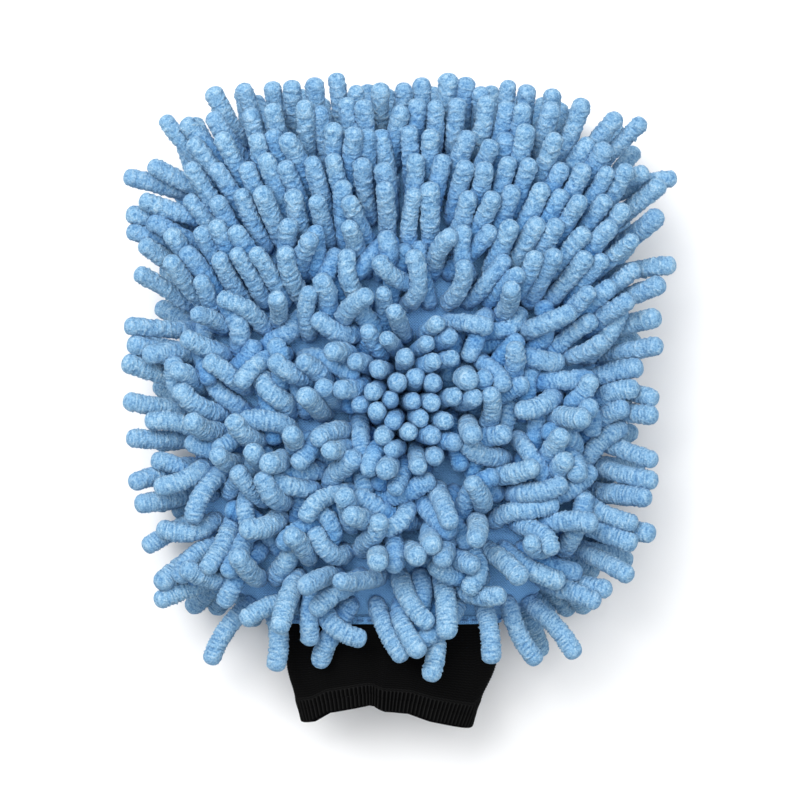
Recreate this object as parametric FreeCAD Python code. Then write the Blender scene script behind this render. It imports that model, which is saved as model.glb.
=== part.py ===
import FreeCAD, Part
import math
import os
import random
from FreeCAD import Rotation, Vector

# Chenille wash mitt, lying on the pile of its back. +Y runs from the cuff to the
# fingertips, +Z up out of the front. Two knitted cloths make a pillow-shaped pocket;
# both carry rows of chenille noodles. All sizes are in millimetres.

# ---- driving dimensions ----
CLOTH_THICKNESS = 1.2
LINING_THICKNESS = 0.7
LAYER_GAP = 0.3
SEAM_GAP = 0.1
PILE_HEIGHT_BACK = 22.0       # squashed pile between the surface below and the back cloth
SECTION_SQUARENESS = 2.3      # 2 is an ellipse, more is squarer
SECTION_POINTS = 24           # points that a closed section is drawn through
SECTION_PITCH = 8.0           # along the cuff from section to section
TUBE_OVERRUN = 1.0            # how far a tube's inside is cut past its ends
LINE_STEPS = 1200             # fine steps along a line that tufts or stitches are spaced on
NORMAL_STEP = 0.6             # half steps along and around that the cloth's normal is taken over
NORMAL_TURN = 0.02

# Pocket from the mouth towards the top seam: y, middle x, half width, half height.
BODY_STATIONS = (
    (-100.0, -4.5, 47.5, 11.5),
    (-96.0, -5.0, 56.0, 13.0),
    (-88.0, -5.5, 65.5, 14.8),
    (-74.0, -4.2, 75.5, 16.7),
    (-62.0, -3.2, 80.4, 17.4),
    (-40.0, -3.4, 82.6, 18.0),
    (-10.0, -3.2, 83.8, 18.0),
    (35.0, -2.0, 86.0, 18.0),
    (72.0, -0.4, 87.6, 18.0),
    (97.6, -0.2, 87.8, 17.0),
)
TOP_CORNER = 25.0             # radius of the outline's top corners
TOP_TAPER_START = 42.0        # from here the pocket closes towards the top seam
TOP_TAPER_POWER = 2.2
THIN_EDGE = 2.5               # layers share the height where the pocket is thinner than this many
CLOTH_ROW_PITCH = 9.0
CLOTH_ACROSS = 26             # points of the cloth's shape from side seam to side seam
TAPER_ROWS = 10

# The front cloth sinks in over the palm.
PALM_HOLLOW_X = 4.0
PALM_HOLLOW_Y = -9.0
PALM_HOLLOW_DEPTH = 8.0
PALM_HOLLOW_SPREAD = 26.0

# Knitted cuff: y, middle x, half width, half height, middle z below the pocket's.
CUFF_STATIONS = (
    (-149.0, -6.6, 36.0, 10.4, 5.4),
    (-136.0, -5.6, 40.0, 11.2, 3.2),
    (-124.0, -4.6, 44.0, 11.5, 1.5),
    (-112.0, -4.0, 45.0, 11.0, 0.5),
    (-100.0, -4.0, 44.4, 9.6, 0.0),
    (-93.0, -4.0, 43.0, 8.8, 0.0),
)
CUFF_THICKNESS = 1.6
WELT_LENGTH = 6.0
WELT_THICKNESS = 2.4
ELASTIC_DIAMETER = 0.9
ELASTIC_PITCH = 4.0
ELASTIC_COUNT = 9
HEM_LENGTH = 3.6
HEM_THICKNESS = 1.1

# Stitches.
STITCH_DIAMETER = 0.8
STITCH_LENGTH = 2.6
STITCH_PITCH = 4.4
FIRST_STITCH = 2.0            # from the mouth to the start of the side seam

# Chenille noodles.
NOODLE_RADIUS = 3.6
NOODLE_LENGTH = 32.0          # from dome end to dome end
NOODLE_LENGTH_SPREAD = 1.2
ROOT_CLEARANCE = 0.15
ROW_PITCH = 11.5
TUFT_PITCH = 8.6
LOWER_TUFT_PITCH = 8.3        # in the rows that the hand ruffles
MOUTH_TUFT_PITCH = 10.6       # in the row next to the mouth
GATHERED_PITCH = 8.0          # between the tufts that the hollow over the palm draws together
GATHERED_MIDDLE = (1.0, -10.0)
GATHERED_HALF_WIDTH = 27.0
GATHERED_HALF_LENGTH = 33.0
GATHERED_LEAN = 10.0          # in the middle; more towards the rim
GATHERED_RIM_LEAN = 42.0
GATHERED_SPREAD = 13.0
FIRST_ROW = 6.5               # along the cloth from the mouth to the first row
TOP_MARGIN = 4.4              # along the cloth from the last row to the top seam
SIDE_MARGIN = 3.2             # along the cloth from the last tuft to the side seam
RESTING_ROWS = (3, 6, 9, 12, 15)
LIFTED_ROW_GAP = 0.4          # how far the other back rows stay off the surface below

# Even comb of the pile: it lies away from a crown line that drops towards the sides.
CROWN_Y = -12.0
CROWN_SIDE_DROP = 0.2
COMB_SIDE_SHARE = 0.62
COMB_LEAN = 64.0
CROWN_LEAN = 40.0
CROWN_RADIUS = 38.0
BACK_LEAN = 62.0
EVEN_HEADING_SPREAD = 6.0
RUFFLED_HEADING_SPREAD = 15.0
PRESSED_HEADING_SPREAD = 13.0
LEAN_SPREAD = 6.0
RUFFLED_BELOW_Y = 25.0
EDGE_SPLAY = 0.8              # how much the cloth's own direction counts at the steep edges

# Places where handling has pushed the front pile out of the even comb:
# x, y of the root, heading in degrees from +X, lean in degrees from upright.
PARTING_REACH = 6.6
PARTING_STRENGTH = 6.0
PARTINGS = (
    (-8, 32, 105, 66), (-19, 26, 96, 64), (2, 42, 86, 66), (7, 34, 70, 62), (17, 25, 50, 60),
    (-42, 30, 112, 60), (33, 32, 80, 50), (-38, 38, 80, 25), (-29, 45, 85, 40), (-45, 40, 70, 50),
    (-54, 33, 120, 65), (-28, 33, 130, 60), (-38, 10, 100, 20), (-40, -22, 150, 55), (38, 12, 60, 40),
    (38, -28, 95, 60), (35, -6, 85, 50), (46, -34, 78, 66), (41, -12, 72, 60), (53, -38, 74, 62),
    (33, -48, 146, 66), (30, -64, 172, 80), (25, -74, 185, 82), (36, -56, -25, 80), (42, -46, -38, 72),
    (34, -66, -5, 82), (29, -79, -17, 82), (43, -80, 8, 76), (56, -47, 55, 62), (62, -54, 66, 55),
    (68, -61, 48, 66), (65, -20, 30, 25), (60, -12, 8, 55), (58, -70, 150, 60), (66, -76, 60, 50),
    (56, -88, 3, 78), (50, -95, -45, 84), (42, -96, -76, 84), (33, -96, -72, 78), (25, -95, -104, 80),
    (17, -94, -106, 70), (10, -86, -85, 58), (4, -96, -92, 64), (-5, -94, -72, 62), (-14, -96, -96, 84),
    (-22, -96, -94, 86), (-29, -94, -122, 80), (-16, -84, 150, 56), (2, -84, -75, 54), (-29, -84, 218, 62),
    (10, -78, -75, 50), (-8, -78, 95, 42), (-28, -76, 110, 46),
    (-38, -82, -125, 55), (-27, -62, -66, 46), (-18, -68, 80, 46), (-15, -56, 100, 50), (-8, -62, 250, 42),
    (5, -66, 105, 44), (14, -56, -50, 50), (18, -68, 120, 48), (0, -54, -100, 40), (-24, -46, 165, 52),
    (-30, -54, 150, 56), (-42, -62, 165, 50), (-48, -70, 80, 42), (-57, -80, 120, 44), (-62, -70, 180, 52),
    (-52, -78, 60, 40), (-68, -62, 205, 60), (-72, -48, 195, 66), (-60, -50, 120, 48), (-57, -36, 120, 22),
    (-60, -22, 100, 20), (-64, -14, 105, 50), (-50, -5, 110, 25), (-72, -14, 160, 62), (-54, 4, 115, 40),
    (-47, 15, 90, 20), (-57, 20, 145, 52), (-44, -40, 90, 35), (-74, -82, 195, 84), (-68, -91, 212, 86),
    (-60, -96, 225, 86), (-50, -97, 240, 85), (-40, -98, 252, 84), (76, 92, 42, 82), (84, 78, 8, 80),
    (-52, 93, 98, 56), (44, 93, 84, 60),
    (-76, 90, 138, 84), (-86, 76, 165, 84), (-88, 62, 178, 84), (-66, 94, 118, 74), (66, 94, 62, 74),
    (22, 95, 88, 66), (57, 93, 76, 54), (-36, 94, 95, 66), (-86, 5, 172, 66), (-86, -25, 176, 66),
    (72, -68, -20, 55), (78, -45, -5, 55), (82, -20, -25, 52), (82, 0, -25, 52), (83, 22, 15, 52),
    (85, 42, 20, 55),
)
# Thin places of the front pile, where no tuft is set: x, y, radius.
BARE_PATCHES = (
    (38.0, -86.0, 5.0), (51.0, -84.0, 4.0),
)

# Packing of the noodles against each other.
PACKING_ROUNDS = 340
PACKING_PULL_ROUNDS = 80      # after these the noodles are only pushed apart
PACKING_PAIR_ROUNDS = 15      # rounds between two searches for near pairs
PACKING_PULL = 0.04           # share of the way back to the wanted direction in each round
PACKING_PUSH = 0.4
PACKING_GAP = 0.1
PACKING_LEAST_ARM = 0.25      # limits the swing of a pair that meets near its roots
ROOT_SHARES = 0.05            # a pair that meets at both roots can't be pushed apart
TINY = 1e-6
LOWEST_RISE = 0.12            # least cosine between a noodle and the cloth's outward direction
RANDOM_SEED = 17

MIDDLE_Z = PILE_HEIGHT_BACK + max(station[3] for station in BODY_STATIONS)
CLOTH_START = BODY_STATIONS[0][0]
CLOTH_END = BODY_STATIONS[-1][0]
AXIS_LENGTH = NOODLE_LENGTH - 2.0 * NOODLE_RADIUS


# ---- smooth shapes ----
def along(stations, y):
    """The stations' values at y, joined by smooth spans (Catmull-Rom, uneven steps)."""
    y = min(max(y, stations[0][0]), stations[-1][0])
    span = 0
    while span < len(stations) - 2 and y > stations[span + 1][0]:
        span += 1
    start = stations[span]
    end = stations[span + 1]
    before = stations[max(span - 1, 0)]
    after = stations[min(span + 2, len(stations) - 1)]
    step = end[0] - start[0]
    share = (y - start[0]) / step
    values = []
    for k in range(1, len(start)):
        slope_in = (end[k] - before[k]) / (end[0] - before[0])
        slope_out = (after[k] - start[k]) / (after[0] - start[0])
        values.append(
            (2 * share ** 3 - 3 * share ** 2 + 1) * start[k]
            + (share ** 3 - 2 * share ** 2 + share) * step * slope_in
            + (3 * share ** 2 - 2 * share ** 3) * end[k]
            + (share ** 3 - share ** 2) * step * slope_out
        )
    return values


def rounded(value, power):
    return math.copysign(abs(value) ** power, value)


def section_point(size, y, angle, inset):
    """A point of a pillow section, inset from the outside; angle runs 0..2 pi from +X."""
    middle_x, half_width, half_height, middle_z = size
    power = 2.0 / SECTION_SQUARENESS
    height_inset = inset * min(1.0, half_height / (THIN_EDGE * abs(inset))) if inset else 0.0
    x = middle_x + (half_width - inset) * rounded(math.cos(angle), power)
    z = middle_z + (half_height - height_inset) * rounded(math.sin(angle), power)
    return Vector(x, y, z)


def palm_hollow(x, y):
    distance = math.hypot(x - PALM_HOLLOW_X, y - PALM_HOLLOW_Y)
    return PALM_HOLLOW_DEPTH * math.exp(-((distance / PALM_HOLLOW_SPREAD) ** 2))


def body_size(y):
    middle_x, half_width, half_height = along(BODY_STATIONS, y)
    corner = min(max((y - CLOTH_END + TOP_CORNER) / TOP_CORNER, 0.0), 1.0)
    half_width -= TOP_CORNER * (1.0 - math.sqrt(1.0 - corner ** 2))
    taper = min(max((y - TOP_TAPER_START) / (CLOTH_END - TOP_TAPER_START), 0.0), 1.0)
    half_height *= (1.0 - taper ** TOP_TAPER_POWER) ** (1.0 / TOP_TAPER_POWER)
    return middle_x, half_width, half_height, MIDDLE_Z


def cuff_size(y):
    middle_x, half_width, half_height, drop = along(CUFF_STATIONS, y)
    return middle_x, half_width, half_height, MIDDLE_Z - drop


def body_point(y, angle, inset=0.0):
    """A point of the pocket, with the front sunk in over the palm."""
    point = section_point(body_size(y), y, angle, inset)
    rise = math.sin(angle)
    if rise > 0.0:
        point.z -= palm_hollow(point.x, y) * rounded(rise, 2.0 / SECTION_SQUARENESS)
    return point


def cuff_point(y, angle, inset=0.0):
    return section_point(cuff_size(y), y, angle, inset)


# ---- solids made of sections ----
def section_wire(point_at, y, inset):
    turn = 2.0 * math.pi / SECTION_POINTS
    points = [point_at(y, turn * (k + 0.5), inset) for k in range(SECTION_POINTS)]
    curve = Part.BSplineCurve()
    curve.interpolate(Points=points, PeriodicFlag=True)
    return Part.Wire(curve.toShape())


def loft(point_at, start, end, inset):
    count = max(2, math.ceil((end - start) / SECTION_PITCH))
    stops = [start + (end - start) * k / count for k in range(count + 1)]
    return Part.makeLoft([section_wire(point_at, y, inset) for y in stops], True, False)


def tube(point_at, start, end, inset, thickness):
    """An open tube along Y between two insets of the same sections."""
    outside = loft(point_at, start, end, inset)
    inside = loft(point_at, start - TUBE_OVERRUN, end + TUBE_OVERRUN, inset + thickness)
    return outside.cut(inside)


def cloth_rows(start):
    """Y places of a cloth's shape, closer together where it tapers to the top seam."""
    count = math.ceil((TOP_TAPER_START - start) / CLOTH_ROW_PITCH)
    rows = [start + (TOP_TAPER_START - start) * k / count for k in range(count)]
    taper = CLOTH_END - TOP_TAPER_START
    turns = [math.pi / 2 * k / TAPER_ROWS for k in range(TAPER_ROWS + 1)]
    return rows + [TOP_TAPER_START + taper * math.sin(turn) for turn in turns]


def cloth_face(start, inset, sign):
    """One smooth face of the front (+1) or back (-1) cloth, drawn in at the sides and the top seam."""
    angles = [sign * math.pi * k / (CLOTH_ACROSS - 1) for k in range(CLOTH_ACROSS)]
    grid = []
    for y in cloth_rows(start):
        shift = Vector(0, -inset * (y - start) / (CLOTH_END - start), sign * SEAM_GAP / 2)
        grid.append([body_point(y, angle, inset) + shift for angle in angles])
    surface = Part.BSplineSurface()
    surface.interpolate(grid)
    return surface


def cloth(start, inset, thickness, sign):
    """Half a pocket: a thin solid between two faces, flat along the seam plane and the mouth."""
    faces = []
    rims = []
    for depth in (inset, inset + thickness):
        surface = cloth_face(start, depth, sign)
        first_u, last_u, first_v, last_v = surface.bounds()
        faces.append(surface.toShape())
        rims.append({
            "mouth": surface.uIso(first_u).toShape(),
            "top": surface.uIso(last_u).toShape(),
            "right": surface.vIso(first_v).toShape(),
            "left": surface.vIso(last_v).toShape(),
        })
    outer, inner = rims
    links = []
    for side in ("right", "left"):
        a = outer[side].valueAt(outer[side].FirstParameter)
        b = inner[side].valueAt(inner[side].FirstParameter)
        links.append(Part.LineSegment(a, b).toShape())
    seam_edges = [rim[name] for rim in rims for name in ("right", "top", "left")] + links
    mouth_edges = [outer["mouth"], inner["mouth"]] + links
    for edges in (seam_edges, mouth_edges):
        faces.append(Part.Face(Part.Wire(Part.__sortEdges__(edges))))
    shell = Part.Shell(faces)
    shell.sewShape()
    solid = Part.Solid(shell)
    if solid.Volume < 0:
        solid.reverse()
    return solid


def rod(start, end, radius):
    """A rod with domed ends; start and end are the centres of the domes."""
    length = (end - start).Length
    diagonal = radius * math.sqrt(0.5)
    base_dome = Part.Arc(Vector(0, 0, -radius), Vector(diagonal, 0, -diagonal), Vector(radius, 0, 0))
    side = Part.LineSegment(Vector(radius, 0, 0), Vector(radius, 0, length))
    tip_dome = Part.Arc(
        Vector(radius, 0, length), Vector(diagonal, 0, length + diagonal), Vector(0, 0, length + radius)
    )
    axis = Part.LineSegment(Vector(0, 0, length + radius), Vector(0, 0, -radius))
    profile = Part.Wire([piece.toShape() for piece in (base_dome, side, tip_dome, axis)])
    solid = Part.Face(profile).revolve(Vector(0, 0, 0), Vector(0, 0, 1), 360)
    solid.Placement = FreeCAD.Placement(start, Rotation(Vector(0, 0, 1), end - start))
    return solid


# ---- cuff ----
def cuff_end():
    return min(station[0] for station in CUFF_STATIONS)


def cuff_start():
    return max(station[0] for station in CUFF_STATIONS)


def cuff_knit():
    start = cuff_end() + WELT_LENGTH + SEAM_GAP
    return tube(cuff_point, start, cuff_start(), 0.0, CUFF_THICKNESS)


def cuff_welt():
    lip = WELT_THICKNESS - CUFF_THICKNESS
    return tube(cuff_point, cuff_end(), cuff_end() + WELT_LENGTH, -lip / 2, WELT_THICKNESS)


def cuff_elastic_yarns():
    """Closed rings laid against the inner face of the cuff."""
    inset = CUFF_THICKNESS + ELASTIC_DIAMETER / 2 + SEAM_GAP
    rings = []
    for k in range(ELASTIC_COUNT):
        y = cuff_end() + WELT_LENGTH + ELASTIC_PITCH * (k + 1)
        path = section_wire(cuff_point, y, inset)
        edge = path.Edges[0]
        start = edge.valueAt(edge.FirstParameter)
        section = Part.Wire(Part.makeCircle(ELASTIC_DIAMETER / 2, start, edge.tangentAt(edge.FirstParameter)))
        rings.append(path.makePipeShell([section], True, True))
    return Part.makeCompound(rings)


def mouth_hem():
    """The knitted edge of the mouth, lapped over the cuff."""
    end = CLOTH_START - SEAM_GAP
    return tube(cuff_point, end - HEM_LENGTH, end, -HEM_THICKNESS - SEAM_GAP, HEM_THICKNESS)


# ---- stitches ----
def stitches_along(points, pitch, length, radius):
    """Straight stitches laid end to end along a line of close points."""
    solids = []
    travelled = 0.0
    next_stitch = pitch / 2
    for start, end in zip(points, points[1:]):
        travelled += (end - start).Length
        if travelled >= next_stitch:
            direction = (end - start).normalize()
            half = direction * (length / 2 - radius)
            solids.append(rod(end - half, end + half, radius))
            next_stitch += pitch
    return solids


def side_seam_thread():
    """Stitches round the edge, from one side of the mouth over the top to the other."""
    proud = STITCH_DIAMETER / 2 + SEAM_GAP
    start = CLOTH_START + FIRST_STITCH
    right = []
    left = []
    for k in range(LINE_STEPS + 1):
        y = start + (CLOTH_END - start) * math.sin(math.pi / 2 * k / LINE_STEPS)
        right.append(body_point(y, 0.0, -proud))
        left.append(body_point(y, math.pi, -proud))
    top_lift = Vector(0, proud, 0)
    across = left[-1] - right[-1]
    top = [right[-1] + across * (k / LINE_STEPS) + top_lift for k in range(LINE_STEPS + 1)]
    line = right + top + left[::-1]
    return Part.makeCompound(stitches_along(line, STITCH_PITCH, STITCH_LENGTH, STITCH_DIAMETER / 2))


def cuff_seam_thread():
    """A ring of stitches on the hem, which holds the cuff in the mouth."""
    proud = HEM_THICKNESS + 2 * SEAM_GAP + STITCH_DIAMETER / 2
    y = CLOTH_START - SEAM_GAP - HEM_LENGTH / 2
    turn = 2 * math.pi / LINE_STEPS
    line = [cuff_point(y, turn * k, -proud) for k in range(LINE_STEPS + 1)]
    return Part.makeCompound(stitches_along(line, STITCH_PITCH, STITCH_LENGTH, STITCH_DIAMETER / 2))


# ---- pile ----
def even_places(values, points, first_margin, last_margin, pitch):
    """The values at equal steps, near the pitch, of the way along a line of points."""
    lengths = [0.0]
    for a, b in zip(points, points[1:]):
        lengths.append(lengths[-1] + (b - a).Length)
    room = lengths[-1] - first_margin - last_margin
    count = round(room / pitch)
    places = [first_margin + room * k / count for k in range(count + 1)]
    return [values[next(k for k, length in enumerate(lengths) if length >= place)] for place in places]


def row_places():
    """Y of each row of tufts, at equal steps along the middle of the cloth."""
    reach = CLOTH_END - CLOTH_START
    turns = [math.pi / 2 * k / LINE_STEPS for k in range(LINE_STEPS + 1)]
    values = [CLOTH_START + reach * math.sin(turn) for turn in turns]
    points = [Vector(0, y, body_size(y)[2]) for y in values]
    return even_places(values, points, FIRST_ROW, TOP_MARGIN, ROW_PITCH)


def tuft_angles(y, front, first):
    """Section angles of the tufts of a row, at equal steps; the back's stand in the front's gaps."""
    half_turn = math.pi if front else -math.pi
    pitch = TUFT_PITCH if y > RUFFLED_BELOW_Y else LOWER_TUFT_PITCH
    if first:
        pitch = MOUTH_TUFT_PITCH
    margin = SIDE_MARGIN if front else SIDE_MARGIN + pitch / 2
    values = [half_turn * k / LINE_STEPS for k in range(LINE_STEPS + 1)]
    points = [body_point(y, angle) for angle in values]
    return even_places(values, points, margin, margin, pitch)


def cloth_normal(y, angle):
    low = max(y - NORMAL_STEP, CLOTH_START)
    high = min(y + NORMAL_STEP, CLOTH_END)
    along_y = body_point(high, angle) - body_point(low, angle)
    around = body_point(y, angle + NORMAL_TURN) - body_point(y, angle - NORMAL_TURN)
    normal = around.cross(along_y).normalize()
    outward = body_point(y, angle, -1.0) - body_point(y, angle)
    if normal.dot(outward) < 0:
        normal = normal * -1.0
    return normal


def direction(heading, lean, up):
    """Unit vector leaning from up (+1 or -1 along Z) towards a heading in degrees."""
    flat = math.sin(math.radians(lean))
    return Vector(
        flat * math.cos(math.radians(heading)),
        flat * math.sin(math.radians(heading)),
        up * math.cos(math.radians(lean)),
    )


def even_comb(root, middle_x, chance, lean, spread, up):
    """Heading and lean of the even comb, with the small scatter of real pile."""
    away_x = (root.x - middle_x) * COMB_SIDE_SHARE
    away_y = root.y - CROWN_Y + CROWN_SIDE_DROP * abs(root.x - middle_x)
    heading = math.degrees(math.atan2(away_y, away_x)) + chance.gauss(0, spread)
    nearness = math.exp(-((math.hypot(away_x, away_y) / CROWN_RADIUS) ** 2))
    lean = lean - (lean - CROWN_LEAN) * nearness + chance.gauss(0, LEAN_SPREAD)
    return direction(heading, lean, up)


def parted(root, wanted):
    """The wanted direction, turned by the partings near the root."""
    total = wanted
    for x, y, heading, lean in PARTINGS:
        distance = math.hypot(root.x - x, root.y - y)
        if distance < 3 * PARTING_REACH:
            weight = PARTING_STRENGTH * math.exp(-((distance / PARTING_REACH) ** 2))
            total = total + direction(heading, lean, 1.0) * weight
    return total.normalize()


def is_bare(root):
    return any(math.hypot(root.x - x, root.y - y) < radius for x, y, radius in BARE_PATCHES)


def gathered_places():
    """X and y of the tufts in the hollow, set in staggered lines."""
    middle_x, middle_y = GATHERED_MIDDLE
    line_pitch = GATHERED_PITCH * math.sqrt(0.75)
    lines = math.floor(GATHERED_HALF_LENGTH / line_pitch)
    places = []
    for line in range(-lines, lines + 1):
        half_width = GATHERED_HALF_WIDTH * math.sqrt(1.0 - (line * line_pitch / GATHERED_HALF_LENGTH) ** 2)
        offset = 0.5 if line % 2 else 0.0
        reach = math.floor(half_width / GATHERED_PITCH - offset)
        places += [
            (middle_x + (k + offset) * GATHERED_PITCH, middle_y + line * line_pitch)
            for k in range(-reach - round(2 * offset), reach + 1)
        ]
    return places


def near_gathered(root, places):
    return any(math.hypot(root.x - x, root.y - y) < GATHERED_PITCH for x, y in places)


class Noodle:
    """One tuft: the dome centres of its root and tip, and where it wants to point."""

    def __init__(self, group, front, root, normal, wanted, length, floor):
        self.group = group
        self.front = front
        self.root = root
        self.normal = normal
        self.wanted = wanted
        self.length = length
        self.floor = floor
        self.tip = root + wanted * length

    def settle(self):
        """Keep the length, stay out of the cloth and the cuff, and off the surface below."""
        heading = (self.tip - self.root).normalize()
        rise = heading.dot(self.normal)
        if rise < LOWEST_RISE:
            heading = (heading + self.normal * (LOWEST_RISE - rise)).normalize()
        tip = self.root + heading * self.length
        clear = cloth_height(tip.x, tip.y, self.front)
        if clear is not None:
            if self.front:
                tip.z = max(tip.z, clear + NOODLE_RADIUS + ROOT_CLEARANCE)
            else:
                tip.z = min(tip.z, clear - NOODLE_RADIUS - ROOT_CLEARANCE)
        tip.z = max(tip.z, self.floor)
        self.tip = tip
        self.reach()

    def reach(self):
        """Set the tip at the noodle's length again without changing its height."""
        rise = self.tip.z - self.root.z
        rise = max(-self.length, min(self.length, rise))
        flat = Vector(self.tip.x - self.root.x, self.tip.y - self.root.y, 0)
        run = math.sqrt(self.length ** 2 - rise ** 2)
        if flat.Length > TINY:
            flat = flat.normalize() * run
        self.tip = self.root + flat + Vector(0, 0, rise)


def cloth_height(x, y, front):
    """Z of the cloth or the cuff over a place, or None beside them."""
    if CLOTH_START <= y <= CLOTH_END:
        size = body_size(y)
        hollow = palm_hollow(x, y) if front else 0.0
    elif cuff_end() <= y < CLOTH_START:
        size = cuff_size(y)
        hollow = -HEM_THICKNESS
    else:
        return None
    middle_x, half_width, half_height, middle_z = size
    share = abs(x - middle_x) / half_width
    if share >= 1.0:
        return None
    height = half_height * (1.0 - share ** SECTION_SQUARENESS) ** (1.0 / SECTION_SQUARENESS)
    if front:
        return middle_z + height - hollow
    return middle_z - height + hollow


def sow(front):
    """All noodles of one side, row by row from the mouth to the top."""
    chance = random.Random(RANDOM_SEED + (0 if front else 1))
    hollow = gathered_places()
    side = "front" if front else "back"
    noodles = []
    for row, y in enumerate(row_places(), start=1):
        for angle in tuft_angles(y, front, row == 1):
            normal = cloth_normal(y, angle)
            root = body_point(y, angle) + normal * (NOODLE_RADIUS + ROOT_CLEARANCE)
            if front and (is_bare(root) or near_gathered(root, hollow)):
                continue
            if not front:
                spread = PRESSED_HEADING_SPREAD
            elif root.y < RUFFLED_BELOW_Y:
                spread = RUFFLED_HEADING_SPREAD
            else:
                spread = EVEN_HEADING_SPREAD
            up = 1.0 if front else -1.0
            lean = COMB_LEAN if front else BACK_LEAN
            combed = even_comb(root, body_size(y)[0], chance, lean, spread, up)
            if front:
                combed = parted(root, combed)
            steepness = 1.0 - abs(normal.z)
            wanted = (combed + normal * steepness * EDGE_SPLAY).normalize()
            length = AXIS_LENGTH + chance.uniform(-NOODLE_LENGTH_SPREAD, NOODLE_LENGTH_SPREAD)
            lifted = front or row not in RESTING_ROWS
            floor = NOODLE_RADIUS + (LIFTED_ROW_GAP if lifted else 0.0)
            group = f"{side}_noodles_row_{row:02d}"
            noodles.append(Noodle(group, front, root, normal, wanted, length, floor))
    return noodles


def sow_hollow():
    """The upright noodles that crowd together in the hollow over the palm."""
    chance = random.Random(RANDOM_SEED + 2)
    noodles = []
    for x, y in gathered_places():
        middle_x, half_width, half_height, middle_z = body_size(y)
        share = (x - middle_x) / half_width
        angle = math.acos(rounded(share, SECTION_SQUARENESS / 2.0))
        normal = cloth_normal(y, angle)
        root = body_point(y, angle) + normal * (NOODLE_RADIUS + ROOT_CLEARANCE)
        away_x = (x - GATHERED_MIDDLE[0]) / GATHERED_HALF_WIDTH
        away_y = (y - GATHERED_MIDDLE[1]) / GATHERED_HALF_LENGTH
        out = math.hypot(away_x, away_y)
        heading = math.degrees(math.atan2(away_y, away_x)) + chance.gauss(0, 3 * GATHERED_SPREAD)
        lean = GATHERED_LEAN + (GATHERED_RIM_LEAN - GATHERED_LEAN) * out ** 3
        lean += chance.gauss(0, GATHERED_SPREAD)
        wanted = direction(heading, lean, 1.0)
        length = AXIS_LENGTH + chance.uniform(-NOODLE_LENGTH_SPREAD, NOODLE_LENGTH_SPREAD)
        noodles.append(Noodle("front_noodles_hollow", True, root, normal, wanted, length, NOODLE_RADIUS))
    return noodles


def nearest_shares(a, b):
    """Shares along two noodles' axes where they pass nearest to each other."""
    u = a.tip - a.root
    v = b.tip - b.root
    w = a.root - b.root
    uu = u.dot(u)
    vv = v.dot(v)
    uv = u.dot(v)
    uw = u.dot(w)
    vw = v.dot(w)
    spread = uu * vv - uv * uv
    s = (uv * vw - vv * uw) / spread if spread > TINY * uu * vv else 0.5
    s = min(max(s, 0.0), 1.0)
    t = min(max((uv * s + vw) / vv, 0.0), 1.0)
    s = min(max((uv * t - uw) / uu, 0.0), 1.0)
    return s, t


def neighbours(noodles):
    """Pairs of noodles near enough to meet."""
    reach = AXIS_LENGTH + 4 * NOODLE_RADIUS
    middles = [(noodle.root + noodle.tip) * 0.5 for noodle in noodles]
    order = sorted(range(len(noodles)), key=lambda k: middles[k].y)
    pairs = []
    for position, i in enumerate(order):
        for j in order[position + 1:]:
            if middles[j].y - middles[i].y > reach:
                break
            if (middles[j] - middles[i]).Length < reach:
                pairs.append((noodles[i], noodles[j]))
    return pairs


def pack_pile(noodles):
    """Swing the noodles about their roots until they lie beside each other."""
    apart = 2 * NOODLE_RADIUS + PACKING_GAP
    for noodle in noodles:
        noodle.settle()
    pairs = neighbours(noodles)
    for step in range(PACKING_ROUNDS):
        if step % PACKING_PAIR_ROUNDS == PACKING_PAIR_ROUNDS - 1:
            pairs = neighbours(noodles)
        if step < PACKING_PULL_ROUNDS:
            for noodle in noodles:
                wanted_tip = noodle.root + noodle.wanted * noodle.length
                noodle.tip = noodle.tip + (wanted_tip - noodle.tip) * PACKING_PULL
        for a, b in pairs:
            s, t = nearest_shares(a, b)
            gap = (a.root + (a.tip - a.root) * s) - (b.root + (b.tip - b.root) * t)
            distance = gap.Length
            if TINY < distance < apart and s + t > ROOT_SHARES:
                arm = max(s * s + t * t, PACKING_LEAST_ARM)
                push = gap * (PACKING_PUSH * (apart - distance) / (distance * arm))
                a.tip = a.tip + push * s
                b.tip = b.tip - push * t
        for noodle in noodles:
            noodle.settle()


def deepest_overlap(noodles):
    apart = 2 * NOODLE_RADIUS
    deepest = 0.0
    count = 0
    for a, b in neighbours(noodles):
        s, t = nearest_shares(a, b)
        gap = (a.root + (a.tip - a.root) * s) - (b.root + (b.tip - b.root) * t)
        if gap.Length < apart:
            deepest = max(deepest, apart - gap.Length)
            count += 1
    return deepest, count


def pile_nodes(noodles):
    """Every row of every side, and the hollow, as one group of separate noodles."""
    nodes = {}
    for noodle in noodles:
        nodes.setdefault(noodle.group, []).append(rod(noodle.root, noodle.tip, NOODLE_RADIUS))
    return {name: Part.makeCompound(solids) for name, solids in nodes.items()}


# ---- the mitt ----
def centring(noodles):
    """The shift that puts the origin under the middle of the whole mitt."""
    ends = [end for noodle in noodles for end in (noodle.root, noodle.tip)]
    low_x = min(end.x for end in ends) - NOODLE_RADIUS
    high_x = max(end.x for end in ends) + NOODLE_RADIUS
    high_y = max(end.y for end in ends) + NOODLE_RADIUS
    return Vector(-(low_x + high_x) / 2, -(cuff_end() + high_y) / 2, 0)


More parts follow.
